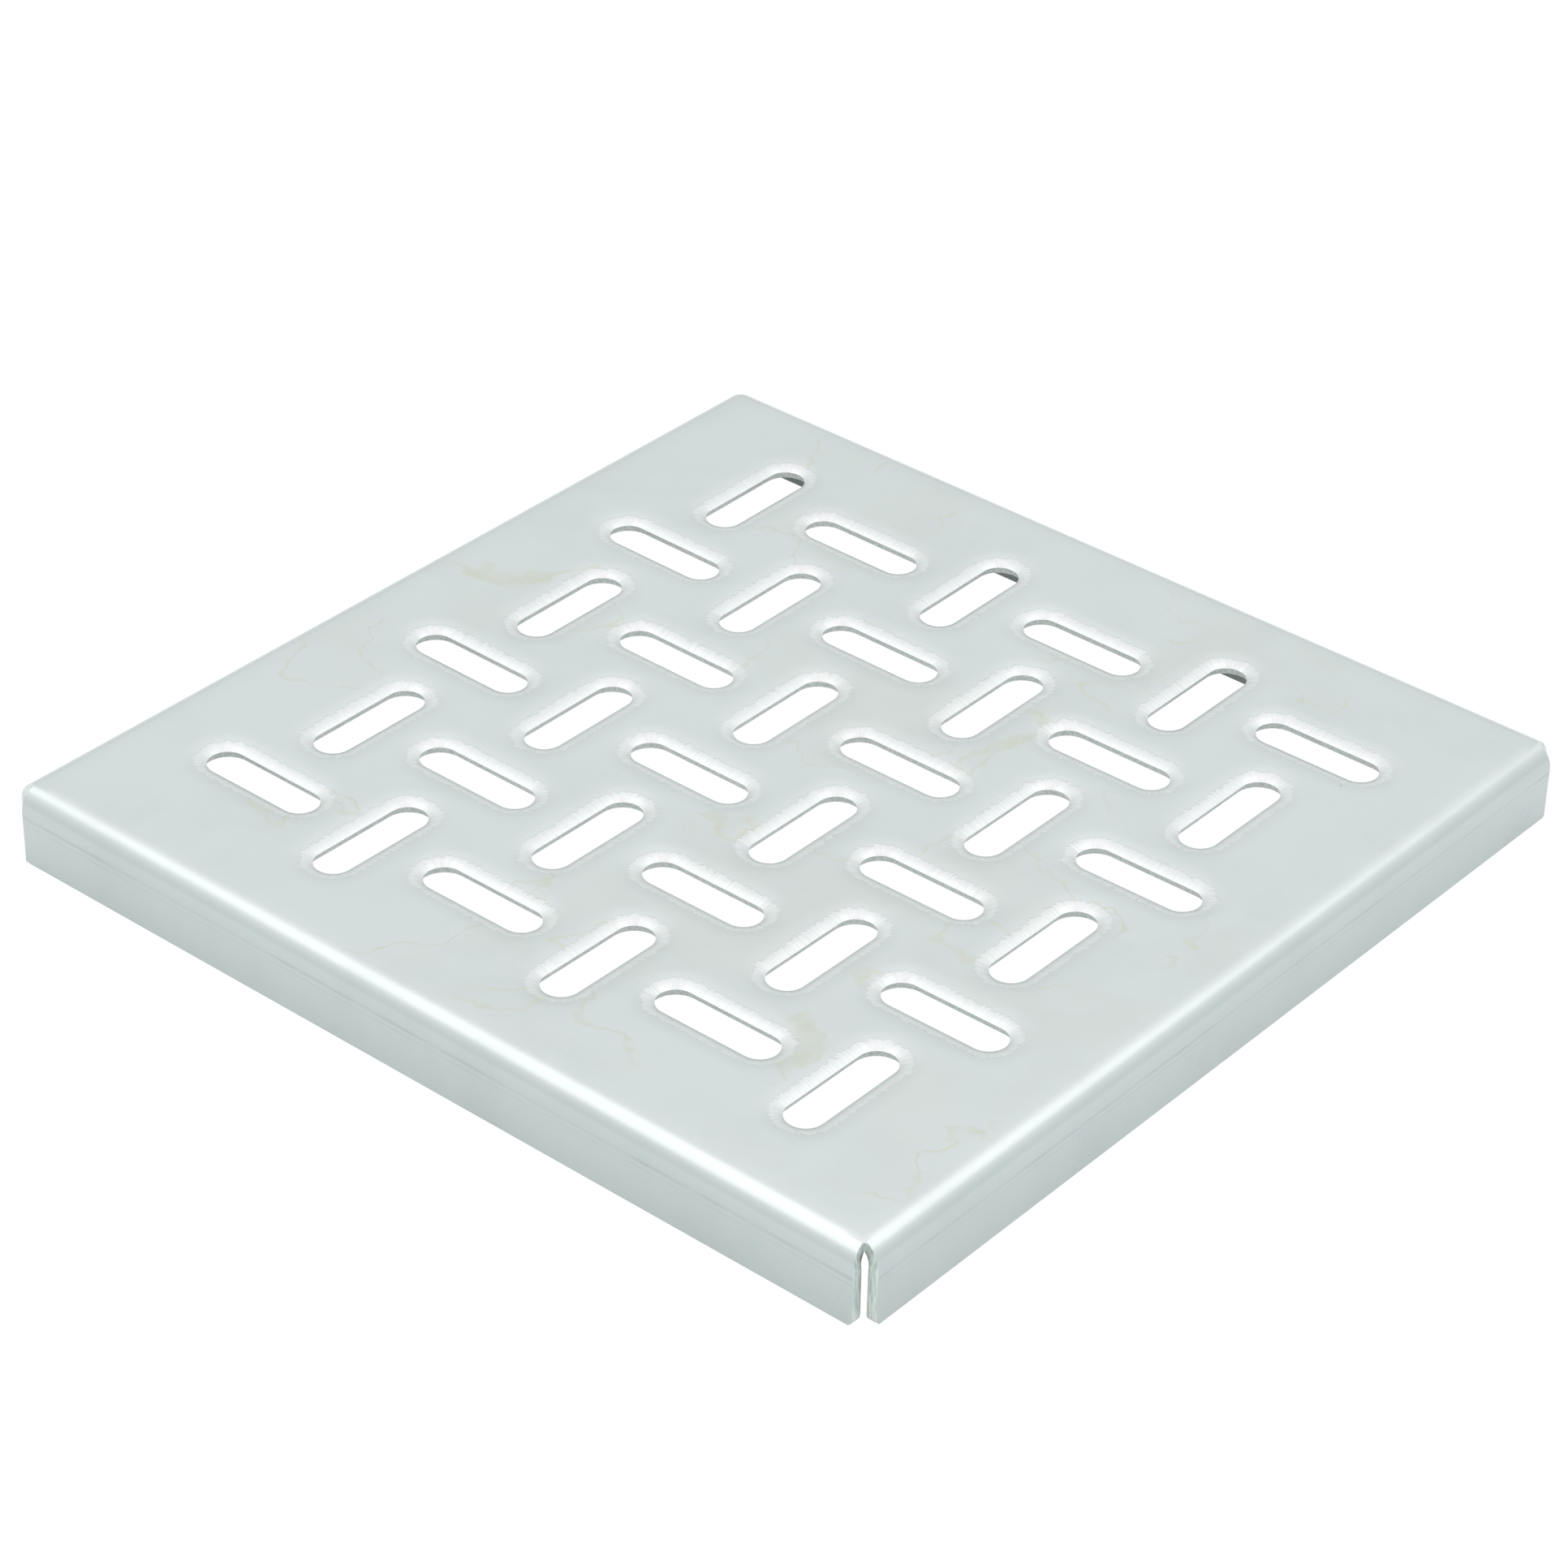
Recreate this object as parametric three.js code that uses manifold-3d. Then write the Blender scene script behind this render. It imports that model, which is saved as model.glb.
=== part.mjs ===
// Floor drain grate: a square tread plate with a basket weave of obround slots.
//
// The grate is one blank of stainless sheet. The slots are punched and their rims pressed
// down, the corners are notched, and the four sides are folded down into flanges that
// stand in the drain's frame.
//
// Millimetres, +Z up. The origin is at the middle of the square that the flanges stand on,
// and the flanges face -X, +X, -Y and +Y.

import * as THREE from 'three';
import { mergeVertices } from 'three/addons/utils/BufferGeometryUtils.js';
import Module from 'manifold-3d';

// The sheet and its folds.
const SIDE = 197;
const HEIGHT = 15;
const SHEET = 2;
const BEND_OUTER = 4.5;
const BEND_STEPS = 6;

// The slots: a square lattice, with every other slot turned by a quarter.
const SLOTS_PER_SIDE = 6;
const SLOT_PITCH = 26.7;
const RIM_LENGTH = 25.5;
const RIM_WIDTH = 7.2;
const SLOT_SIDES = 12;

// The pressed rim: the sheet curls down into the slot around this radius, by this angle.
const DIMPLE_RADIUS = 7;
const DIMPLE_ANGLE = THREE.MathUtils.degToRad(31);
const DIMPLE_STEPS = 3;

// The corner notch: how far each flange's end stands back from the square's corner,
// at the notch's root, where it is widest, just below the fold and at the free edge.
const NOTCH_ROOT = 3.3;
const NOTCH_WIDEST = 3.6;
const NOTCH_WIDEST_DROP = 0.8;
const NOTCH_BELOW_FOLD = 2.45;
const NOTCH_AT_EDGE = 2.9;
const FREE_CORNER_RADIUS = 1.2;

// How far a cutting solid runs past the sheet.
const OVERRUN = 1;

const HALF = SIDE / 2;
const HALF_FLAT = HALF - BEND_OUTER;
const UNDERSIDE = HEIGHT - SHEET;
const FOLD_LINE = HEIGHT - BEND_OUTER;

const wasm = await Module();
wasm.setup();

// A closed three.js geometry as a solid that can be joined and cut.
function toSolid(geometry) {
  const bare = geometry.clone();
  bare.deleteAttribute('normal');
  bare.deleteAttribute('uv');
  const welded = mergeVertices(bare, 1e-4);
  const corners = Array.from(welded.index.array);
  const triVerts = [];
  for (let i = 0; i < corners.length; i += 3) {
    const [a, b, c] = corners.slice(i, i + 3);
    if (a !== b && b !== c && c !== a) {
      triVerts.push(a, b, c);
    }
  }
  const mesh = new wasm.Mesh({
    numProp: 3,
    vertProperties: Float32Array.from(welded.attributes.position.array),
    triVerts: Uint32Array.from(triVerts),
  });
  return new wasm.Manifold(mesh);
}

// The solid's surface as a three.js geometry.
function toGeometry(solid) {
  const mesh = solid.getMesh();
  const geometry = new THREE.BufferGeometry();
  geometry.setAttribute('position', new THREE.BufferAttribute(mesh.vertProperties, 3));
  geometry.setIndex(new THREE.BufferAttribute(mesh.triVerts, 1));
  geometry.computeVertexNormals();
  return geometry;
}

// The flat part of the tread, between the four folds.
function makeTread() {
  const tread = new THREE.BoxGeometry(2 * HALF_FLAT, 2 * HALF_FLAT, SHEET);
  tread.translate(0, 0, HEIGHT - SHEET / 2);
  return toSolid(tread);
}

// The section across a fold: x runs outwards from the tread, y is the height.
function foldSection() {
  const section = new THREE.Shape();
  section.moveTo(HALF_FLAT, UNDERSIDE);
  section.absarc(HALF_FLAT, FOLD_LINE, BEND_OUTER - SHEET, Math.PI / 2, 0, true);
  section.lineTo(HALF - SHEET, 0);
  section.lineTo(HALF, 0);
  section.absarc(HALF_FLAT, FOLD_LINE, BEND_OUTER, 0, Math.PI / 2, false);
  section.closePath();
  return section;
}

// A flange seen square on: x runs along it, y is the height. The ends follow the notches.
function flangeFace() {
  const face = new THREE.Shape();
  const edge = HALF - NOTCH_AT_EDGE;
  face.moveTo(-edge + FREE_CORNER_RADIUS, 0);
  face.lineTo(edge - FREE_CORNER_RADIUS, 0);
  face.quadraticCurveTo(edge, 0, edge, FREE_CORNER_RADIUS);
  face.lineTo(HALF - NOTCH_BELOW_FOLD, FOLD_LINE);
  face.lineTo(HALF - NOTCH_WIDEST, HEIGHT - NOTCH_WIDEST_DROP);
  face.lineTo(HALF - NOTCH_ROOT, HEIGHT);
  face.lineTo(HALF - NOTCH_ROOT, HEIGHT + OVERRUN);
  face.lineTo(-HALF + NOTCH_ROOT, HEIGHT + OVERRUN);
  face.lineTo(-HALF + NOTCH_ROOT, HEIGHT);
  face.lineTo(-HALF + NOTCH_WIDEST, HEIGHT - NOTCH_WIDEST_DROP);
  face.lineTo(-HALF + NOTCH_BELOW_FOLD, FOLD_LINE);
  face.lineTo(-edge, FREE_CORNER_RADIUS);
  face.quadraticCurveTo(-edge, 0, -edge + FREE_CORNER_RADIUS, 0);
  return face;
}

// One fold with its flange, turned about +Z to the side it belongs on.
function makeFlange(turn) {
  const fold = new THREE.ExtrudeGeometry(foldSection(), {
    depth: SIDE,
    bevelEnabled: false,
    curveSegments: BEND_STEPS,
  });
  fold.rotateX(Math.PI / 2);
  fold.translate(0, HALF, 0);

  const face = new THREE.ExtrudeGeometry(flangeFace(), {
    depth: BEND_OUTER + 2 * OVERRUN,
    bevelEnabled: false,
    curveSegments: 2,
  });
  face.rotateX(Math.PI / 2);
  face.rotateZ(Math.PI / 2);
  face.translate(HALF_FLAT - OVERRUN, 0, 0);

  fold.rotateZ(turn);
  face.rotateZ(turn);
  return toSolid(fold).intersect(toSolid(face));
}

// A solid of the same outline as a slot. The profile's points give, from the bottom up,
// the distance outwards from the slot's rim and the height, and the solid is closed
// across the slot at both ends.
function slotSolid(profile, column, row) {
  const radius = (distance) => (RIM_WIDTH / 2 + distance) / Math.cos(Math.PI / SLOT_SIDES);
  const points = profile.map(([distance, height]) => new THREE.Vector2(radius(distance), height));
  points.unshift(new THREE.Vector2(0, points[0].y));
  points.push(new THREE.Vector2(0, points[points.length - 1].y));
  const shape = new THREE.LatheGeometry(points, SLOT_SIDES, Math.PI / SLOT_SIDES);
  shape.rotateX(Math.PI / 2);

  // The round solid is pulled apart at its middle into an obround one.
  const stretch = (RIM_LENGTH - RIM_WIDTH) / 2;
  const position = shape.attributes.position;
  for (let i = 0; i < position.count; i += 1) {
    const x = position.getX(i);
    if (Math.abs(x) > 1e-3) {
      position.setX(i, x + Math.sign(x) * stretch);
    }
  }

  const middle = (SLOTS_PER_SIDE - 1) / 2;
  shape.rotateZ((column + row) % 2 === 0 ? 0 : Math.PI / 2);
  shape.translate((column - middle) * SLOT_PITCH, (row - middle) * SLOT_PITCH, 0);
  return toSolid(shape);
}

// A point of the pressed rim: an angle round the curl and a depth below the top skin.
function curlPoint(angle, depth) {
  const reach = DIMPLE_RADIUS * Math.sin(DIMPLE_ANGLE);
  const radius = DIMPLE_RADIUS - depth;
  const distance = reach - radius * Math.sin(angle);
  const height = HEIGHT - DIMPLE_RADIUS + radius * Math.cos(angle);
  return [distance, height];
}

// The points of one skin of the pressed rim, from the slot's edge up to the flat sheet.
function curlSkin(depth) {
  const skin = [];
  for (let step = DIMPLE_STEPS; step >= 0; step -= 1) {
    skin.push(curlPoint((DIMPLE_ANGLE * step) / DIMPLE_STEPS, depth));
  }
  return skin;
}

// The metal that is pressed below the tread, with the slot still filled.
function makeBoss(column, row) {
  const skin = curlSkin(SHEET);
  const [reach] = curlPoint(0, SHEET);
  return slotSolid([...skin, [reach, HEIGHT - SHEET / 2]], column, row);
}

// What the press and the punch leave empty: the dish above the rim and the slot itself.
function makeFunnel(column, row) {
  const skin = curlSkin(0);
  const [reach] = curlPoint(0, 0);
  const below = curlPoint(DIMPLE_ANGLE, SHEET + OVERRUN);
  return slotSolid([below, ...skin, [reach, HEIGHT + OVERRUN]], column, row);
}

// The whole sheet: the tread joined to its flanges, then each slot pressed and opened.
function makeSheet() {
  let sheet = makeTread();
  for (let side = 0; side < 4; side += 1) {
    sheet = sheet.add(makeFlange((side * Math.PI) / 2));
  }
  for (let column = 0; column < SLOTS_PER_SIDE; column += 1) {
    for (let row = 0; row < SLOTS_PER_SIDE; row += 1) {
      sheet = sheet.add(makeBoss(column, row)).subtract(makeFunnel(column, row));
    }
  }
  return toGeometry(sheet);
}

const stainless = new THREE.MeshStandardMaterial({
  color: 0xced5d0,
  roughness: 0.34,
  metalness: 1,
});

const grate = new THREE.Mesh(makeSheet(), stainless);
grate.name = 'grate_sheet';

const group = new THREE.Group();
group.add(grate);

export default group;
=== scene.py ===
"""A floor drain grate of satin stainless sheet, and the pale studio it stands in.

The grate is modelled the way it is made. A flat blank is laid out with its corner notches, a pressed
rim is let in for every slot, the tread is dished a little by the press, and the four sides are folded
down. Then the skin is given the thickness of the sheet, and its cut edges are eased.
"""

import math

import bmesh
import bpy
from bpy.props import FloatProperty, FloatVectorProperty, IntProperty, PointerProperty
from bpy.types import Operator, Panel, PropertyGroup
from mathutils import Matrix, Vector


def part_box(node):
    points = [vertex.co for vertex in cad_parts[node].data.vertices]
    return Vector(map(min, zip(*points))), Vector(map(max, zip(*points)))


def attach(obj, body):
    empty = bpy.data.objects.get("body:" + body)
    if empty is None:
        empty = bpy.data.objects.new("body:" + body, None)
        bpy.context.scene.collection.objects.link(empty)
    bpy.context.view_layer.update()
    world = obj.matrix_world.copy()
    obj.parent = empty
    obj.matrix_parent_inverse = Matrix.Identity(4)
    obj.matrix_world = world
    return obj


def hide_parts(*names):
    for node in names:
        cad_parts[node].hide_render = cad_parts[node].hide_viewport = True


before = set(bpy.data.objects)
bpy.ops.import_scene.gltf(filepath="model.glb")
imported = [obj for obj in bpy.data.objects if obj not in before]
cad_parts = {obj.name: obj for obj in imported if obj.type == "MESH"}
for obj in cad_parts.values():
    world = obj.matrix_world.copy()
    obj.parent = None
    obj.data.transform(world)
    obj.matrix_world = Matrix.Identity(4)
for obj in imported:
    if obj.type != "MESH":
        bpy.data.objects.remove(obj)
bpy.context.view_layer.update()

bl_info = {
    "name": "Floor drain grate",
    "version": (1, 0, 0),
    "blender": (4, 5, 0),
    "location": "3D View > Sidebar > Drain grate",
    "description": "Makes a folded stainless drain grate with pressed slots, and a studio for it",
    "category": "Mesh",
}

MM = 0.001
GRATE_NODE = "grate_sheet"
LOW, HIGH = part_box(GRATE_NODE)
SIDE = HIGH.x - LOW.x
HEIGHT = HIGH.z - LOW.z

# How finely the skin is divided. A slot's outline has as many steps as the rectangle round it.
STRAIGHT_STEPS = 8
END_STEPS = 16
SHOULDER_STEPS = 3
CURL_STEPS = 7
MARGIN_STEPS = 3
FOLD_STEPS = 12
FLANGE_STEPS = 5
CORNER_STEPS = 4

# Material slots of the sheet. The outer face has the first, 0.
CUT_EDGE, UNDERSIDE = 1, 2

# The two flange ends at the +X -Y corner: the side, and whether the end lies along the side's turn.
NEAR_CORNER_ENDS = {(0, True), (1, False)}

# The rim distance of points that belong to no slot, in millimetres.
FAR_FROM_RIM = 30.0

# Watts for each square metre of an area light that give it a brightness of one.
AREA_LIGHT_WATTS = 4.0

# How closely two places must agree to be the same.
SLACK = 0.01 * MM

# How close points must be to be joined: within a slot's cell, and along the flanges.
CELL_WELD = 0.001 * MM
FLANGE_WELD = 0.005 * MM

# How sharply one fold gives way to the other where two meet at a corner of the tread.
CORNER_SHARPNESS = 4

# The rounding of the cut edges: its steps, and the least angle between faces that gets one.
EASE_STEPS = 2
EASE_ANGLE = math.radians(50)

# What the sheet's points carry for the burnished rims.
RIM_DISTANCE = "rim_distance"
RIM_POINT = "rim_point"


class GrateSizes(PropertyGroup):
    """Sizes of the folded sheet."""

    sheet: FloatProperty(
        name="Sheet", description="Thickness of the sheet", default=2 * MM, unit="LENGTH"
    )
    fold_radius: FloatProperty(
        name="Fold radius", description="Outer radius of the folds", default=4.5 * MM, unit="LENGTH"
    )
    slots_per_side: IntProperty(
        name="Slots per side", description="Slots in each row and column", default=6, min=2
    )
    pitch: FloatProperty(
        name="Slot pitch", description="From one slot's middle to the next",
        default=26.7 * MM, unit="LENGTH"
    )
    rim_length: FloatProperty(
        name="Slot length", description="Length of a slot at its rim", default=25.5 * MM, unit="LENGTH"
    )
    rim_width: FloatProperty(
        name="Slot width", description="Width of a slot at its rim", default=7.2 * MM, unit="LENGTH"
    )
    curl_radius: FloatProperty(
        name="Curl radius", description="Radius of the sheet beside the rim", default=5.2 * MM, unit="LENGTH"
    )
    rim_angle: FloatProperty(
        name="Rim angle", description="How steeply the sheet meets the rim",
        default=math.radians(31), subtype="ANGLE"
    )
    shoulder_radius: FloatProperty(
        name="Shoulder radius", description="Radius where the flat tread starts to dip",
        default=16 * MM, unit="LENGTH"
    )
    shoulder_angle: FloatProperty(
        name="Shoulder angle", description="Slope where the shoulder meets the curl",
        default=math.radians(12), subtype="ANGLE"
    )
    dish: FloatProperty(
        name="Dish", description="How far the middle of the tread lies below its sides",
        default=0.8 * MM, unit="LENGTH"
    )
    relief_offset: FloatProperty(
        name="Relief offset", description="From the fold lines to the middle of the corner relief hole",
        default=1.75 * MM, unit="LENGTH"
    )
    relief_radius: FloatProperty(
        name="Relief radius", description="Radius of the corner relief hole",
        default=0.75 * MM, unit="LENGTH"
    )
    flange_reach: FloatProperty(
        name="Flange reach", description="How far a flange runs past the fold line at its top",
        default=1.6 * MM, unit="LENGTH"
    )
    flange_taper: FloatProperty(
        name="Flange taper", description="How much shorter each end of a flange is at its free edge",
        default=0.25 * MM, unit="LENGTH"
    )
    near_reach: FloatProperty(
        name="Near corner reach", description="How much further the flanges run at the +X -Y corner's foot",
        default=0.55 * MM, unit="LENGTH"
    )
    corner_radius: FloatProperty(
        name="Free corner radius", description="Radius of a flange's free corners",
        default=1.4 * MM, unit="LENGTH"
    )
    rear_lean: FloatProperty(
        name="Rear lean", description="How far the free edge of the +Y flange is bent inwards",
        default=2.3 * MM, unit="LENGTH"
    )
    edge_ease: FloatProperty(
        name="Edge ease", description="Width of the rounding on cut edges", default=0.14 * MM, unit="LENGTH"
    )


class SteelFinish(PropertyGroup):
    """Colours and gloss of the stainless sheet."""

    face_colour: FloatVectorProperty(
        name="Sheet", description="Reflection colour of the rolled sheet",
        default=(0.543, 0.606, 0.594), subtype="COLOR", min=0, max=1
    )
    burnish_colour: FloatVectorProperty(
        name="Burnished rim", description="Reflection colour where the press rubbed the sheet",
        default=(0.62, 0.665, 0.65), subtype="COLOR", min=0, max=1
    )
    cut_colour: FloatVectorProperty(
        name="Cut edge", description="Reflection colour of punched and sheared edges",
        default=(0.56, 0.61, 0.58), subtype="COLOR", min=0, max=1
    )
    stain_colour: FloatVectorProperty(
        name="Water stain", description="Tint of dried water marks",
        default=(0.515, 0.560, 0.485), subtype="COLOR", min=0, max=1
    )
    face_roughness: FloatProperty(
        name="Sheet roughness", description="Roughness of the rolled sheet", default=0.27, min=0, max=1
    )


class StudioSetup(PropertyGroup):
    """Camera, lights and floor."""

    azimuth: FloatProperty(
        name="Camera azimuth", description="Turn of the camera round the grate, from looking along +Y",
        default=math.radians(39.75), subtype="ANGLE"
    )
    elevation: FloatProperty(
        name="Camera elevation", description="Height of the camera above the horizon",
        default=math.radians(33.81), subtype="ANGLE"
    )
    roll: FloatProperty(
        name="Camera roll", description="Turn of the camera about its line of sight",
        default=math.radians(1.29), subtype="ANGLE"
    )
    distance: FloatProperty(
        name="Camera distance", description="From the tread's middle back to the camera",
        default=851.7 * MM, unit="LENGTH"
    )
    offset: FloatVectorProperty(
        name="Camera offset", description="Sideways and upward shift of the camera from the tread's middle",
        default=(-1.92 * MM, -3.92 * MM), size=2, subtype="TRANSLATION", unit="LENGTH"
    )
    lens: FloatProperty(
        name="Lens", description="Focal length for a sensor 36 mm wide", default=109.6, min=10
    )
    floor_colour: FloatVectorProperty(
        name="Floor", description="Colour of the studio floor",
        default=(0.785, 0.825, 0.83), subtype="COLOR", min=0, max=1
    )
    floor_size: FloatProperty(
        name="Floor size", description="Side of the square floor", default=8.0, unit="LENGTH"
    )
    floor_glow: FloatProperty(
        name="Floor glow", description="Brightness of the light behind the floor", default=1.03, min=0
    )
    glow_share: FloatVectorProperty(
        name="Glow share", description="Share of the glow in what the grate and the camera get of the floor",
        default=(0.45, 0.97), size=2, min=0, max=1
    )
    wall_colour: FloatVectorProperty(
        name="Walls", description="Colour of the room at the floor",
        default=(0.985, 1.0, 1.0), subtype="COLOR", min=0, max=1
    )
    ceiling_colour: FloatVectorProperty(
        name="Ceiling", description="Colour of the room straight up",
        default=(1.0, 0.90, 0.945), subtype="COLOR", min=0, max=1
    )
    room_light: FloatVectorProperty(
        name="Room light", description="Brightness of the room at the floor and straight up",
        default=(0.99, 1.68), size=2, min=0
    )
    ceiling_gap: FloatProperty(
        name="Ceiling gap", description="How much less bright the room is in a patch straight overhead",
        default=0.36, min=0
    )
    softbox_light: FloatProperty(
        name="Softbox light", description="Brightness of the two softboxes overhead", default=0.36, min=0
    )
    softbox_size: FloatVectorProperty(
        name="Softbox size", description="Width and length of each softbox",
        default=(1.0, 1.15), size=2, subtype="TRANSLATION", unit="LENGTH"
    )
    softbox_height: FloatProperty(
        name="Softbox height", description="Height of the softboxes above the floor",
        default=1.0, unit="LENGTH"
    )
    softbox_spread: FloatProperty(
        name="Softbox spread", description="From the camera's line to the middle of each softbox",
        default=0.70, unit="LENGTH"
    )


# The sheet's shape


def flat_half(sizes):
    """From the tread's middle to a fold line."""
    return SIDE / 2 - sizes.fold_radius


def fold_length(sizes):
    """Length of sheet in a fold."""
    return sizes.fold_radius * math.pi / 2


def flange_length(sizes):
    """Length of sheet from a fold line to the free edge."""
    return fold_length(sizes) + HEIGHT - sizes.fold_radius


def first_slot(sizes):
    """The middle of the first slot of a row, from the tread's middle."""
    return -(sizes.slots_per_side - 1) / 2 * sizes.pitch


def slot_places(sizes):
    """Where each slot goes: every other one is turned by a quarter."""
    first = first_slot(sizes)
    places = []
    for column in range(sizes.slots_per_side):
        for row in range(sizes.slots_per_side):
            middle = Vector((first + column * sizes.pitch, first + row * sizes.pitch, 0))
            turn = Matrix.Rotation((column + row) % 2 * math.pi / 2, 4, "Z")
            places.append(Matrix.Translation(middle) @ turn)
    return places


def slot_end(sizes):
    """From a slot's middle to the centre of its round end."""
    return (sizes.rim_length - sizes.rim_width) / 2


def cell_half_width(sizes):
    """Half the width of the rectangle that holds a slot and its pressed rim. Neighbouring cells meet."""
    return (sizes.pitch - slot_end(sizes)) / 2


def evenly(start, end, steps):
    """Evenly spaced places after start, up to and including end."""
    return [start + (end - start) * (i + 1) / steps for i in range(steps)]


def tread_lines(sizes):
    """Places of the grid lines across the tread, from one fold line to the other."""
    flat = flat_half(sizes)
    middle = first_slot(sizes)
    short = cell_half_width(sizes)
    long = short + slot_end(sizes)
    quarter_end = END_STEPS // 4
    lines = [-flat, *evenly(-flat, middle - long, MARGIN_STEPS)]
    for _ in range(sizes.slots_per_side):
        lines += evenly(middle - long, middle - short, quarter_end)
        lines += evenly(middle - short, middle + short, STRAIGHT_STEPS)
        middle += sizes.pitch
    lines += evenly(middle - long, middle - short, quarter_end)
    return lines + evenly(middle - short, flat, MARGIN_STEPS)


def flat_tread(bm, sizes):
    """The tread as a flat grid, with an open rectangle for each slot's cell."""
    lines = tread_lines(sizes)
    steps = len(lines) - 1
    bmesh.ops.create_grid(bm, x_segments=steps, y_segments=steps, size=1)
    for vert in bm.verts:
        vert.co.x = lines[round((vert.co.x + 1) / 2 * steps)]
        vert.co.y = lines[round((vert.co.y + 1) / 2 * steps)]
    short = cell_half_width(sizes)
    long = short + slot_end(sizes)
    covered = []
    backs = [place.inverted() for place in slot_places(sizes)]
    for face in bm.faces:
        middle = face.calc_center_median()
        in_cells = [back @ middle for back in backs]
        if any(abs(point.x) < long and abs(point.y) < short for point in in_cells):
            covered.append(face)
    bmesh.ops.delete(bm, geom=covered, context="FACES")


def spun(bm, geom, centre, axis, angle, steps):
    """Spins geometry about an axis and returns the last copy."""
    made = bmesh.ops.spin(bm, geom=geom, cent=centre, axis=axis, angle=angle, steps=steps)
    return made["geom_last"]


def drawn_out(bm, geom, move, steps):
    """Extrudes a row of edges along a line in even steps and returns the last copy."""
    for _ in range(steps):
        edges = [item for item in geom if isinstance(item, bmesh.types.BMEdge)]
        geom = bmesh.ops.extrude_edge_only(bm, edges=edges)["geom"]
        verts = [item for item in geom if isinstance(item, bmesh.types.BMVert)]
        bmesh.ops.translate(bm, verts=verts, vec=move / steps)
        geom = [item for item in geom if not isinstance(item, bmesh.types.BMFace)]
    return geom


def on_cell_border(point, sizes):
    """The place on a cell's border that belongs to a point of the outline round its slot."""
    end = slot_end(sizes)
    short = cell_half_width(sizes)
    if abs(point.x) < end:
        return Vector((point.x * short / end, math.copysign(short, point.y), 0))
    from_tip = math.atan2(abs(point.y), abs(point.x) - end) / (math.pi / 2)
    across = short * min(1, 2 * from_tip)
    along = short + end * min(1, 2 - 2 * from_tip)
    return Vector((math.copysign(along, point.x), math.copysign(across, point.y), 0))


def slot_cell(sizes):
    """One slot's cell: the curled section carried round the obround rim, in a flat rectangle."""
    bm = bmesh.new()
    end = slot_end(sizes)
    shoulder = sizes.shoulder_radius
    curl = sizes.curl_radius
    lean = Vector((0, math.sin(sizes.shoulder_angle), math.cos(sizes.shoulder_angle)))
    curl_reach = curl * (math.sin(sizes.rim_angle) - lean.y)
    outline = sizes.rim_width / 2 + curl_reach + shoulder * lean.y

    start = bm.verts.new((end, -outline, 0))
    shoulder_centre = Vector((end, -outline, -shoulder))
    curl_centre = shoulder_centre + (shoulder - curl) * lean
    inwards = (-1, 0, 0)
    join = spun(bm, [start], shoulder_centre, inwards, sizes.shoulder_angle, SHOULDER_STEPS)
    spun(bm, join, curl_centre, inwards, sizes.rim_angle - sizes.shoulder_angle, CURL_STEPS)
    bmesh.ops.remove_doubles(bm, verts=bm.verts[:], dist=CELL_WELD)

    section = bm.verts[:] + bm.edges[:]
    section = spun(bm, section, (end, 0, 0), (0, 0, 1), math.pi, END_STEPS)
    section = drawn_out(bm, section, Vector((-2 * end, 0, 0)), STRAIGHT_STEPS)
    section = spun(bm, section, (-end, 0, 0), (0, 0, 1), math.pi, END_STEPS)
    drawn_out(bm, section, Vector((2 * end, 0, 0)), STRAIGHT_STEPS)
    bmesh.ops.remove_doubles(bm, verts=bm.verts[:], dist=CELL_WELD)

    outer = [edge for edge in bm.edges if edge.is_boundary and edge.verts[0].co.z > -SLACK]
    border = bmesh.ops.extrude_edge_only(bm, edges=outer)["geom"]
    for vert in border:
        if isinstance(vert, bmesh.types.BMVert):
            vert.co = on_cell_border(vert.co, sizes)
    return bm


def rim_layers(bm):
    """Room on each point for how far it is from its slot's rim, and for the nearest point of the rim."""
    return bm.verts.layers.float.new(RIM_DISTANCE), bm.verts.layers.float_vector.new(RIM_POINT)


def measured_cell(sizes):
    """One slot's cell as a mesh whose points know how far they are from the rim, and where it is."""
    cell = slot_cell(sizes)
    end = slot_end(sizes)
    half_width = sizes.rim_width / 2
    distance_layer, nearest_layer = rim_layers(cell)
    for vert in cell.verts:
        spine = Vector((max(-end, min(end, vert.co.x)), 0, 0))
        out = Vector((vert.co.x, vert.co.y, 0)) - spine
        vert[distance_layer] = (out.length - half_width) / MM
        vert[nearest_layer] = spine + out.normalized() * half_width
    mesh = bpy.data.meshes.new("slot_cell")
    cell.to_mesh(mesh)
    cell.free()
    return mesh


def let_in_slots(bm, sizes):
    """Puts a slot's cell in each open rectangle of the tread. Points outside the cells have no rim."""
    mesh = measured_cell(sizes)
    distance_layer, nearest_layer = rim_layers(bm)
    for vert in bm.verts:
        vert[distance_layer] = FAR_FROM_RIM
        vert[nearest_layer] = vert.co
    for place in slot_places(sizes):
        known = set(bm.verts)
        bm.from_mesh(mesh)
        fresh = [vert for vert in bm.verts if vert not in known]
        bmesh.ops.transform(bm, matrix=place, verts=fresh)
        for vert in fresh:
            vert[nearest_layer] = place @ vert[nearest_layer]
    bpy.data.meshes.remove(mesh)
    bmesh.ops.remove_doubles(bm, verts=bm.verts[:], dist=SLACK)


def dished(bm, sizes):
    """Lowers the middle of the tread."""
    flat = flat_half(sizes)
    for vert in bm.verts:
        across = 1 - (vert.co.x / flat) ** 2
        along = 1 - (vert.co.y / flat) ** 2
        vert.co.z -= sizes.dish * max(0, across) * max(0, along)


def notch_root(sizes):
    """From either fold line to where the relief hole starts, on the diagonal between two flanges."""
    return sizes.relief_offset - sizes.relief_radius * math.sqrt(0.5)


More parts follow.
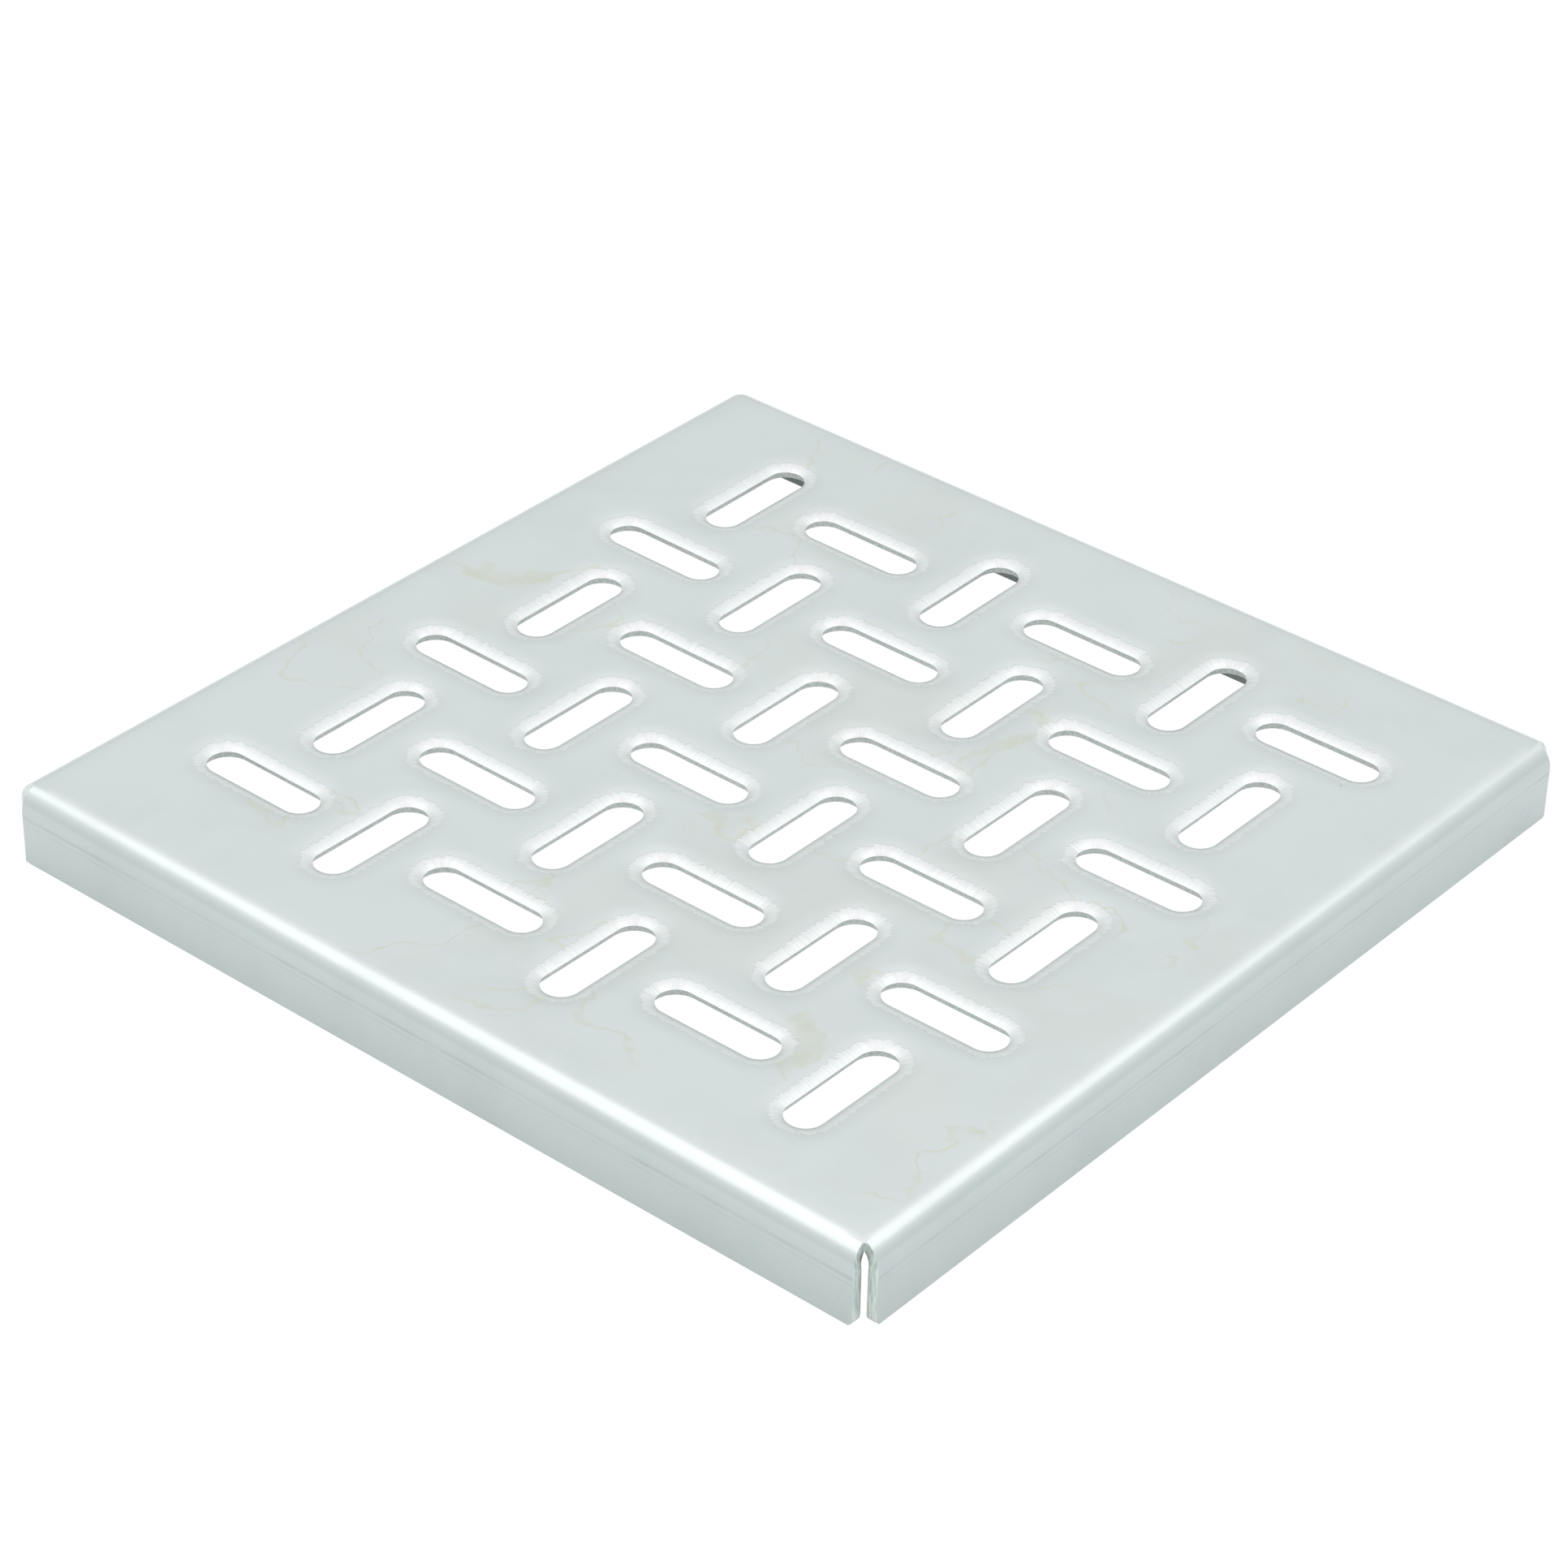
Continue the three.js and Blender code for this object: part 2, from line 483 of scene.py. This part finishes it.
def flange_rows(sizes):
    """Distances from the fold line to the rows of a flange, measured along the sheet."""
    fold = fold_length(sizes)
    free = flange_length(sizes)
    root = notch_root(sizes)
    rows = [root / 2, root, *evenly(root, fold, FOLD_STEPS)]
    rows += evenly(fold, free - sizes.corner_radius, FLANGE_STEPS)
    for step in range(CORNER_STEPS):
        angle = (step + 1) / CORNER_STEPS * math.pi / 2
        rows.append(free - sizes.corner_radius * (1 - math.sin(angle)))
    return rows


def flange_end(sizes, row, extra):
    """How far a flange runs past the neighbouring fold line, at a row's distance from its own. It runs
    further by extra at its free edge."""
    fold = fold_length(sizes)
    free = flange_length(sizes)
    offset, radius = sizes.relief_offset, sizes.relief_radius
    narrowest = offset - radius
    if row <= notch_root(sizes):
        return row
    if row <= offset:
        return offset - math.sqrt(radius ** 2 - (row - offset) ** 2)
    if row <= fold:
        reach = sizes.flange_reach + extra * fold / free
        return narrowest + (reach - narrowest) * (row - offset) / (fold - offset)
    end = sizes.flange_reach + extra * row / free - sizes.flange_taper * (row - fold) / (free - fold)
    into_corner = row - (free - sizes.corner_radius)
    if into_corner > 0:
        rounded = sizes.corner_radius ** 2 - into_corner ** 2
        end -= sizes.corner_radius - math.sqrt(max(0, rounded))
    return end


def flat_flanges(bm, sizes):
    """Draws each side of the tread out into a flat flange, with its ends cut to the corner notches."""
    flat = flat_half(sizes)
    for side in range(4):
        turn = Matrix.Rotation(side * math.pi / 2, 3, "Z")
        out = turn @ Vector((0, -1, 0))
        along = turn @ Vector((1, 0, 0))
        edges = []
        for edge in bm.edges:
            on_line = all(abs(vert.co.dot(out) - flat) < SLACK for vert in edge.verts)
            if edge.is_boundary and on_line:
                edges.append(edge)
        last = 0
        for row in flange_rows(sizes):
            geom = bmesh.ops.extrude_edge_only(bm, edges=edges)["geom"]
            verts = [item for item in geom if isinstance(item, bmesh.types.BMVert)]
            edges = [item for item in geom if isinstance(item, bmesh.types.BMEdge)]
            bmesh.ops.translate(bm, verts=verts, vec=out * (row - last))
            last = row
            outermost = max(abs(vert.co.dot(along)) for vert in verts)
            for vert in verts:
                place = vert.co.dot(along)
                if abs(place) > outermost - SLACK:
                    extra = sizes.near_reach if (side, place > 0) in NEAR_CORNER_ENDS else 0
                    target = math.copysign(flat + flange_end(sizes, row, extra), place)
                    vert.co += along * (target - place)
    bmesh.ops.remove_doubles(bm, verts=bm.verts[:], dist=FLANGE_WELD)


def folded(bm, sizes):
    """Folds the flat blank's four sides down, the +Y one a little too far, and lifts the tread to the
    grate's height."""
    flat = flat_half(sizes)
    radius = sizes.fold_radius
    quarter = fold_length(sizes)

    def across(past):
        return radius * math.sin(min(past, quarter) / radius)

    def drop(past):
        return radius * (1 - math.cos(min(past, quarter) / radius)) + max(0, past - quarter)

    def lean(past, place):
        if place < 0:
            return 0
        return sizes.rear_lean * max(0, past - quarter) / (HEIGHT - radius)

    for vert in bm.verts:
        past_x = max(0, abs(vert.co.x) - flat)
        past_y = max(0, abs(vert.co.y) - flat)
        if past_x:
            vert.co.x = math.copysign(flat + across(past_x), vert.co.x)
        if past_y:
            vert.co.y = math.copysign(flat + across(past_y) - lean(past_y, vert.co.y), vert.co.y)
        fall = drop(past_x) ** CORNER_SHARPNESS + drop(past_y) ** CORNER_SHARPNESS
        vert.co.z += HEIGHT - fall ** (1 / CORNER_SHARPNESS)


def facing_out(bm):
    """Turns every face the same way round, up on the tread and outwards on the flanges."""
    bmesh.ops.recalc_face_normals(bm, faces=bm.faces[:])
    highest = max(bm.faces, key=lambda face: face.calc_center_median().z)
    if highest.normal.z < 0:
        bmesh.ops.reverse_faces(bm, faces=bm.faces[:])


def make_sheet_mesh(sizes):
    """The sheet's outer skin: tread, pressed rims, folds and flanges."""
    bm = bmesh.new()
    flat_tread(bm, sizes)
    let_in_slots(bm, sizes)
    dished(bm, sizes)
    flat_flanges(bm, sizes)
    folded(bm, sizes)
    facing_out(bm)
    for face in bm.faces:
        face.smooth = True
    mesh = bpy.data.meshes.new("grate")
    bm.to_mesh(mesh)
    bm.free()
    return mesh


def thicken(piece, sizes):
    """Gives the skin the sheet's thickness on its inner side, and eases the cut edges."""
    wall = piece.modifiers.new("sheet_thickness", "SOLIDIFY")
    wall.thickness = sizes.sheet
    wall.offset = -1
    wall.use_even_offset = True
    wall.use_quality_normals = True
    wall.material_offset_rim = CUT_EDGE
    wall.material_offset = UNDERSIDE
    ease = piece.modifiers.new("eased_edges", "BEVEL")
    ease.width = sizes.edge_ease
    ease.segments = EASE_STEPS
    ease.limit_method = "ANGLE"
    ease.angle_limit = EASE_ANGLE
    ease.harden_normals = True


# Materials

# The burnished band round a rim, in millimetres: its least width, what tears and flecks add to it, and
# how softly it ends.
BURNISH_WIDTH, TORN_WIDTH, FLECKED_WIDTH, BURNISH_FADE = 0.1, 3.4, 1.6, 0.5

# How deep the press dragged the band, and how much rougher it is than the sheet.
DRAG_DEPTH = 0.07 * MM
DRAG_ROUGHNESS = 0.1

# Dried water. The tide line is where a noise crosses a level. It has a width in that noise, and the noise
# is pushed about. The film inside the line is a faint share of the stain.
TIDE_LEVEL, TIDE_WIDTH, TIDE_WANDER = 0.56, 0.013, 24 * MM
FILM_LEVEL, FILM_SHARE = 0.66, 0.2

# How far inside the grate's outline the stains begin to fade and are nearly gone, and what is left there.
STAIN_FADE, STAIN_END, STAIN_LEFT = 8 * MM, 3 * MM, 0.12

# Specks: the cells for them in each metre, how large they are in a cell, and the lot that draws them.
SPECK_CELLS, SPECK_EDGE, SPECK_LOT = 130, (0.018, 0.04), (0.86, 0.9)

# Lines along each flange under the fold: how far below the fold each is and how far it fades, and how much
# they waver. The first, soft line is painted shade, the darker band the flange shows just under the fold's
# highlight; the second, thin one is a tool line left by the press brake.
SHADE_AND_TOOL_LINES = ((0.6 * MM, 0.6 * MM), (1.9 * MM, 0.16 * MM))
LINE_WAVER = 0.5 * MM

# How far the lines under the folds and the specks go towards the darker colour. The soft line is painted
# shade; the thin line and the specks are real marks.
LINE_SHARE, SPECK_SHARE = 0.34, 0.8

# Brightness of the duller patches, and of dirty steel and painted shade, as a share of the clean sheet's.
DULL, SOILED_AND_SHADED = 0.955, 0.6

# The part of the unevenness that comes from rolling lines, and how much rougher the patches are.
ROLLING_SHARE = 0.25
PATCH_ROUGHNESS = 0.006

# Brightness of the polished lines on a cut edge, as a share of the rest, and how deep its lines are.
CUT_POLISH = 1.35
CUT_DEPTH = 0.02 * MM

# The underside: the sheet's colour is darkened to between these, as painted shade for the shadow under the
# tread, its roughness rises, and it has a grain.
UNDERSIDE_SHADE_SHARES = (0.6, 0.5)
UNDERSIDE_ROUGHNESS = 0.1
GRAIN_DEPTH = 0.002 * MM


class Nodes:
    """The node tree of a material or of the room, with short ways to add and join its nodes."""

    def __init__(self, owner, coordinates="Object"):
        owner.use_nodes = True
        self.owner = owner
        self.tree = owner.node_tree
        self.shader = self.tree.nodes.get("Principled BSDF") or self.tree.nodes["Background"]
        self.coordinates = self.add("ShaderNodeTexCoord").outputs[coordinates]

    def add(self, kind, **settings):
        """Adds a node of a kind, with its settings."""
        made = self.tree.nodes.new(kind)
        for key, value in settings.items():
            setattr(made, key, value)
        return made

    def feed(self, socket, value):
        """Links an output to a socket, or sets the socket's own value."""
        if isinstance(value, bpy.types.NodeSocket):
            self.tree.links.new(value, socket)
        else:
            socket.default_value = value

    def feed_all(self, sockets, values):
        """Feeds each socket its value, in order."""
        for socket, value in zip(sockets, values):
            self.feed(socket, value)

    def math(self, operation, *values, clamp=False):
        """A number worked out from others."""
        made = self.add("ShaderNodeMath", operation=operation, use_clamp=clamp)
        self.feed_all(made.inputs, values)
        return made.outputs["Value"]

    def apart(self, first, second):
        """How far two numbers are apart."""
        return self.math("ABSOLUTE", self.math("SUBTRACT", first, second))

    def axis(self, name):
        """The coordinate along one axis."""
        made = self.add("ShaderNodeSeparateXYZ")
        self.feed(made.inputs["Vector"], self.coordinates)
        return made.outputs[name]

    def ramp(self, value, low, high, to_low=0.0, to_high=1.0):
        """A smooth step from to_low at low to to_high at high."""
        made = self.add("ShaderNodeMapRange", interpolation_type="SMOOTHSTEP")
        names = ("Value", "From Min", "From Max", "To Min", "To Max")
        sockets = [made.inputs[name] for name in names]
        self.feed_all(sockets, (value, low, high, to_low, to_high))
        return made.outputs["Result"]

    def fade(self, value, near, far, left=0.0):
        """Full up to near, and smoothly down to what is left at far."""
        return self.ramp(value, near, far, 1.0, left)

    def noise(self, scale, detail=2.0, vector=None, roughness=0.5, output="Fac"):
        """Noise from 0 to 1, mostly near its middle. Scale is in features for each metre."""
        made = self.add("ShaderNodeTexNoise")
        sockets = [made.inputs[name] for name in ("Vector", "Scale", "Detail", "Roughness")]
        self.feed_all(sockets, (vector or self.coordinates, scale, detail, roughness))
        return made.outputs[output]

    def streaks(self, scales, detail):
        """Noise with a scale of its own along each axis."""
        made = self.add("ShaderNodeMapping")
        self.feed(made.inputs["Vector"], self.coordinates)
        self.feed(made.inputs["Scale"], scales)
        return self.noise(1, detail, made.outputs["Vector"])

    def pushed(self, colour, reach):
        """Coordinates pushed about by a colour, with a reach along each axis."""
        made = self.add("ShaderNodeVectorMath", operation="MULTIPLY_ADD")
        self.feed_all(made.inputs, (colour, reach, self.coordinates))
        return made.outputs["Vector"]

    def mix(self, share, first, second):
        """A colour that goes from first to second."""
        made = self.add("ShaderNodeMix", data_type="RGBA")
        colours = [socket for socket in made.inputs if socket.type == "RGBA"]
        self.feed_all([made.inputs[0], *colours], (share, first, second))
        return [socket for socket in made.outputs if socket.type == "RGBA"][0]

    def mix_shaders(self, share, first, second):
        """A surface that goes from one shader to another."""
        made = self.add("ShaderNodeMixShader")
        self.feed_all(made.inputs, (share, first, second))
        return made.outputs["Shader"]

    def attribute(self, name, output):
        """What the sheet's points carry under a name."""
        return self.add("ShaderNodeAttribute", attribute_name=name).outputs[output]

    def metal(self, colour, roughness, relief, depth):
        """Makes the surface bare metal, with relief of a given depth, and returns the material."""
        bump = self.add("ShaderNodeBump")
        sockets = [bump.inputs[name] for name in ("Strength", "Distance", "Height")]
        self.feed_all(sockets, (1.0, depth, relief))
        names = ("Metallic", "Base Color", "Roughness", "Normal")
        sockets = [self.shader.inputs[name] for name in names]
        self.feed_all(sockets, (1.0, colour, roughness, bump.outputs["Normal"]))
        return self.owner


def opaque(colour, brightness=1.0):
    """A colour made brighter or darker, with full alpha."""
    return (*(min(1.0, brightness * part) for part in colour), 1.0)


def rim_burnish(nodes):
    """Where the press rubbed the curled rim: a band with a torn outer edge. Returns the band's share and
    the fine drag marks across it."""
    distance = nodes.attribute(RIM_DISTANCE, "Fac")
    rim_point = nodes.attribute(RIM_POINT, "Vector")
    tears = nodes.noise(900, detail=5, vector=rim_point, roughness=0.8)
    flecks = nodes.noise(2600, detail=3, roughness=0.7)
    width = nodes.math("MULTIPLY_ADD", tears, TORN_WIDTH, BURNISH_WIDTH)
    width = nodes.math("MULTIPLY_ADD", flecks, FLECKED_WIDTH, width)
    band = nodes.fade(distance, nodes.math("SUBTRACT", width, BURNISH_FADE), width)
    drag = nodes.noise(2200, detail=3, vector=rim_point, roughness=0.7)
    return band, drag


def water_marks(nodes):
    """Faint tan tide lines left by dried water, and the film inside them. They keep to the tread."""
    wander = nodes.noise(85, detail=3, output="Color")
    pushed = nodes.pushed(wander, (TIDE_WANDER, TIDE_WANDER, 0))
    patches = nodes.noise(30, detail=1, vector=pushed)
    tide = nodes.fade(nodes.apart(patches, TIDE_LEVEL), 0.0, TIDE_WIDTH)
    film = nodes.ramp(patches, TIDE_LEVEL, FILM_LEVEL, to_high=FILM_SHARE)
    places = nodes.ramp(nodes.noise(48, detail=1), 0.40, 0.54)
    broken = nodes.ramp(nodes.noise(320, detail=3), 0.30, 0.62, to_low=0.5)

    sideways = nodes.math("ABSOLUTE", nodes.axis("X"))
    lengthways = nodes.math("ABSOLUTE", nodes.axis("Y"))
    outwards = nodes.math("MAXIMUM", sideways, lengthways)
    on_tread = nodes.fade(outwards, SIDE / 2 - STAIN_FADE, SIDE / 2 - STAIN_END, left=STAIN_LEFT)
    marks = nodes.math("MULTIPLY", nodes.math("MAXIMUM", tide, film), places)
    marks = nodes.math("MULTIPLY", marks, on_tread)
    return nodes.math("MULTIPLY", marks, broken, clamp=True)


def specks(nodes):
    """A few tiny dark specks, scattered over the sheet."""
    cells = nodes.add("ShaderNodeTexVoronoi")
    nodes.feed(cells.inputs["Vector"], nodes.coordinates)
    nodes.feed(cells.inputs["Scale"], SPECK_CELLS)
    dot = nodes.fade(cells.outputs["Distance"], *SPECK_EDGE)
    lot = nodes.add("ShaderNodeSeparateColor")
    nodes.feed(lot.inputs["Color"], cells.outputs["Color"])
    chosen = nodes.ramp(lot.outputs["Red"], *SPECK_LOT)
    return nodes.math("MULTIPLY", dot, chosen)


def shade_and_tool_lines(nodes, sizes):
    """Two dark lines along each flange, just under the fold: a soft band of painted shade under the fold's
    highlight, and a thin tool line that the press brake left.
    """
    height = nodes.math("MULTIPLY_ADD", nodes.noise(25, detail=2), LINE_WAVER, nodes.axis("Z"))
    foot = HEIGHT - sizes.fold_radius
    lines = 0.0
    for drop, reach in SHADE_AND_TOOL_LINES:
        line = nodes.fade(nodes.apart(height, foot - drop), 0.0, reach)
        lines = nodes.math("MAXIMUM", lines, line)
    faint = nodes.ramp(nodes.noise(70, detail=3), 0.42, 0.66, to_low=0.35)
    return nodes.math("MULTIPLY", lines, faint)


def satin_stainless(sizes, finish):
    """Cold-rolled sheet: satin, faintly mottled, with burnished rims, tool lines, a band of painted shade
    under each fold, and water marks.
    """
    nodes = Nodes(bpy.data.materials.new("satin_stainless"))
    band, drag = rim_burnish(nodes)

    mottle = nodes.ramp(nodes.noise(38, detail=4), 0.35, 0.65)
    smudge = nodes.ramp(nodes.streaks((90, 90, 25), detail=3), 0.3, 0.6)
    clouds = nodes.math("MULTIPLY", mottle, smudge)
    rolling = nodes.streaks((60, 3600, 3600), detail=3)
    patches = nodes.math("MULTIPLY", clouds, 1 - ROLLING_SHARE)
    uneven = nodes.math("MULTIPLY_ADD", rolling, ROLLING_SHARE, patches)
    colour = nodes.mix(uneven, opaque(finish.face_colour), opaque(finish.face_colour, DULL))

    colour = nodes.mix(water_marks(nodes), colour, opaque(finish.stain_colour))
    # The soft line under each fold is painted shade; the thin tool line and the specks are real marks.
    lines = nodes.math("MULTIPLY", shade_and_tool_lines(nodes, sizes), LINE_SHARE)
    dots = nodes.math("MULTIPLY", specks(nodes), SPECK_SHARE)
    shade_and_soil = nodes.math("MAXIMUM", lines, dots)
    colour = nodes.mix(shade_and_soil, colour, opaque(finish.face_colour, SOILED_AND_SHADED))
    rubbed = nodes.math("MULTIPLY", band, nodes.ramp(drag, 0.25, 0.7, to_low=0.3))
    colour = nodes.mix(rubbed, colour, opaque(finish.burnish_colour))

    roughness = nodes.math("MULTIPLY_ADD", clouds, PATCH_ROUGHNESS, finish.face_roughness)
    roughness = nodes.math("MULTIPLY_ADD", band, DRAG_ROUGHNESS, roughness)
    return nodes.metal(colour, roughness, nodes.math("MULTIPLY", drag, band), DRAG_DEPTH)


def cut_edge_steel(finish):
    """Punched and sheared edges: dull, with fine lines across the sheet."""
    nodes = Nodes(bpy.data.materials.new("cut_edge_steel"))
    lines = nodes.streaks((2600, 2600, 350), detail=4)
    polished = nodes.ramp(lines, 0.35, 0.65)
    colour = nodes.mix(polished, opaque(finish.cut_colour), opaque(finish.cut_colour, CUT_POLISH))
    roughness = nodes.ramp(lines, 0.3, 0.7, to_low=0.34, to_high=0.5)
    return nodes.metal(colour, roughness, lines, CUT_DEPTH)


def shaded_underside_stainless(finish):
    """The inner side of the sheet: the same steel, darkened as painted shade for the shadow under the tread,
    duller and streaked.
    """
    nodes = Nodes(bpy.data.materials.new("shaded_underside_stainless"))
    mottle = nodes.ramp(nodes.noise(60, detail=4), 0.3, 0.7)
    # Two darker copies of the sheet's colour, both painted shade, mixed by a random mottle.
    less_shaded, more_shaded = (opaque(finish.face_colour, share) for share in UNDERSIDE_SHADE_SHARES)
    colour = nodes.mix(mottle, less_shaded, more_shaded)
    rolling = nodes.streaks((30, 1400, 1400), detail=3)
    smooth = finish.face_roughness
    roughness = nodes.ramp(rolling, 0.2, 0.8, to_low=smooth, to_high=smooth + UNDERSIDE_ROUGHNESS)
    return nodes.metal(colour, roughness, nodes.noise(3200, detail=2), GRAIN_DEPTH)


# The studio

# How late the room grows brighter with height, as a power of the sine of the elevation.
ROOM_CURVE = 2.0

# Where the dimmer patch overhead starts and where it is full, as sines of the elevation.
OVERHEAD_PATCH = (0.90, 1.0)

# The floor's own finish.
FLOOR_ROUGHNESS = 0.9
FLOOR_SHINE = 0.1


def make_camera(studio):
    """The camera, looking down on the near corner."""
    azimuth, elevation = studio.azimuth, studio.elevation
    back = Vector((
        math.sin(azimuth) * math.cos(elevation),
        -math.cos(azimuth) * math.cos(elevation),
        math.sin(elevation),
    ))
    right = Vector((0, 0, 1)).cross(back).normalized()
    up = back.cross(right)
    rolled_right = math.cos(studio.roll) * right + math.sin(studio.roll) * up
    rolled_up = math.cos(studio.roll) * up - math.sin(studio.roll) * right
    turn = Matrix((rolled_right, rolled_up, back)).transposed()
    aside, above = studio.offset
    place = Vector((0, 0, HEIGHT)) + turn @ Vector((aside, above, studio.distance))

    data = bpy.data.cameras.new("studio_camera")
    data.sensor_width = 36
    data.lens = studio.lens
    data.clip_start = 0.01
    data.clip_end = 50
    camera = bpy.data.objects.new("studio_camera", data)
    camera.matrix_world = Matrix.Translation(place) @ turn.to_4x4()
    bpy.context.scene.collection.objects.link(camera)
    bpy.context.scene.camera = camera


def make_world(studio):
    """Pale walls all round, which grow brighter with height, and a dimmer patch straight overhead, so that
    the tread isn't lost against the floor when it is seen from above."""
    world = bpy.data.worlds.new("studio_room")
    nodes = Nodes(world, "Generated")
    height = nodes.axis("Z")
    climb = nodes.math("POWER", height, ROOM_CURVE, clamp=True)
    at_floor, overhead = studio.room_light
    light = nodes.math("MULTIPLY_ADD", climb, overhead - at_floor, at_floor)
    gap = nodes.ramp(height, *OVERHEAD_PATCH, to_high=studio.ceiling_gap)
    colour = nodes.mix(climb, opaque(studio.wall_colour), opaque(studio.ceiling_colour))
    nodes.feed(nodes.shader.inputs["Color"], colour)
    nodes.feed(nodes.shader.inputs["Strength"], nodes.math("SUBTRACT", light, gap))
    bpy.context.scene.world = world


def add_softbox(studio, name, aside):
    """A long soft light overhead, on one side of the camera's line of sight."""
    data = bpy.data.lights.new(name, "AREA")
    data.shape = "RECTANGLE"
    data.size = studio.softbox_size[0]
    data.size_y = studio.softbox_size[1]
    data.energy = studio.softbox_light * AREA_LIGHT_WATTS * data.size * data.size_y
    light = bpy.data.objects.new(name, data)
    turn = Matrix.Rotation(studio.azimuth, 4, "Z")
    light.matrix_world = turn @ Matrix.Translation((aside, 0, studio.softbox_height))
    bpy.context.scene.collection.objects.link(light)


def floor_material(studio):
    """Pale matt floor, lit from behind like a light table so that it stays nearly white in the shade.
    From below it is clear."""
    nodes = Nodes(bpy.data.materials.new("studio_floor"))
    nodes.feed(nodes.shader.inputs["Base Color"], opaque(studio.floor_colour))
    nodes.feed(nodes.shader.inputs["Roughness"], FLOOR_ROUGHNESS)
    nodes.feed(nodes.shader.inputs["Specular IOR Level"], FLOOR_SHINE)
    glow = nodes.add("ShaderNodeEmission")
    nodes.feed(glow.inputs["Strength"], studio.floor_glow)
    seen = nodes.add("ShaderNodeLightPath").outputs["Is Camera Ray"]
    share = nodes.ramp(seen, 0.0, 1.0, *studio.glow_share)
    above = nodes.mix_shaders(share, nodes.shader.outputs["BSDF"], glow.outputs["Emission"])
    below = nodes.add("ShaderNodeBsdfTransparent").outputs["BSDF"]
    from_below = nodes.add("ShaderNodeNewGeometry").outputs["Backfacing"]
    surface = nodes.tree.nodes["Material Output"].inputs["Surface"]
    nodes.feed(surface, nodes.mix_shaders(from_below, above, below))
    return nodes.owner


def make_floor(studio):
    """The floor that the grate stands on."""
    bm = bmesh.new()
    bmesh.ops.create_grid(bm, x_segments=1, y_segments=1, size=studio.floor_size / 2)
    mesh = bpy.data.meshes.new("studio_floor")
    bm.to_mesh(mesh)
    bm.free()
    mesh.materials.append(floor_material(studio))
    floor = bpy.data.objects.new("studio_floor", mesh)
    bpy.context.scene.collection.objects.link(floor)


# Operators and panel


class GRATE_OT_sheet(Operator):
    """Make the folded stainless sheet with its pressed slots"""

    bl_idname = "grate.sheet"
    bl_label = "Grate sheet"
    bl_options = {"REGISTER", "UNDO"}

    def execute(self, context):
        sizes = context.scene.grate_sizes
        finish = context.scene.grate_finish
        mesh = make_sheet_mesh(sizes)
        mesh.materials.append(satin_stainless(sizes, finish))
        mesh.materials.append(cut_edge_steel(finish))
        mesh.materials.append(shaded_underside_stainless(finish))
        piece = bpy.data.objects.new("drain_grate", mesh)
        context.scene.collection.objects.link(piece)
        thicken(piece, sizes)
        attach(piece, "root")
        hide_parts(GRATE_NODE)
        return {"FINISHED"}


class GRATE_OT_stage(Operator):
    """Make the camera, the soft lights and the pale floor"""

    bl_idname = "grate.stage"
    bl_label = "Studio"
    bl_options = {"REGISTER", "UNDO"}

    def execute(self, context):
        studio = context.scene.grate_studio
        make_camera(studio)
        make_world(studio)
        make_floor(studio)
        add_softbox(studio, "softbox_left", -studio.softbox_spread)
        add_softbox(studio, "softbox_right", studio.softbox_spread)
        context.scene.view_settings.view_transform = "Standard"
        return {"FINISHED"}


class GRATE_PT_panel(Panel):
    """Lists the grate's sizes, finish and studio, with a button to make each part"""

    bl_idname = "GRATE_PT_panel"
    bl_label = "Floor drain grate"
    bl_space_type = "VIEW_3D"
    bl_region_type = "UI"
    bl_category = "Drain grate"

    def draw(self, context):
        scene = context.scene
        for group, operator in (
            (scene.grate_sizes, None),
            (scene.grate_finish, GRATE_OT_sheet),
            (scene.grate_studio, GRATE_OT_stage),
        ):
            box = self.layout.box()
            for name in group.bl_rna.properties.keys():
                if name not in {"rna_type", "name"}:
                    box.prop(group, name)
            if operator:
                box.operator(operator.bl_idname)


CLASSES = (GrateSizes, SteelFinish, StudioSetup, GRATE_OT_sheet, GRATE_OT_stage, GRATE_PT_panel)


def register():
    """Registers the classes and hangs their settings on the scene."""
    for cls in CLASSES:
        bpy.utils.register_class(cls)
    bpy.types.Scene.grate_sizes = PointerProperty(type=GrateSizes)
    bpy.types.Scene.grate_finish = PointerProperty(type=SteelFinish)
    bpy.types.Scene.grate_studio = PointerProperty(type=StudioSetup)


def unregister():
    """Takes the settings and classes away again."""
    del bpy.types.Scene.grate_studio
    del bpy.types.Scene.grate_finish
    del bpy.types.Scene.grate_sizes
    for cls in reversed(CLASSES):
        bpy.utils.unregister_class(cls)


def main():
    """Makes the grate and its studio."""
    register()
    bpy.ops.grate.stage()
    bpy.ops.grate.sheet()


if __name__ == "__main__":
    main()
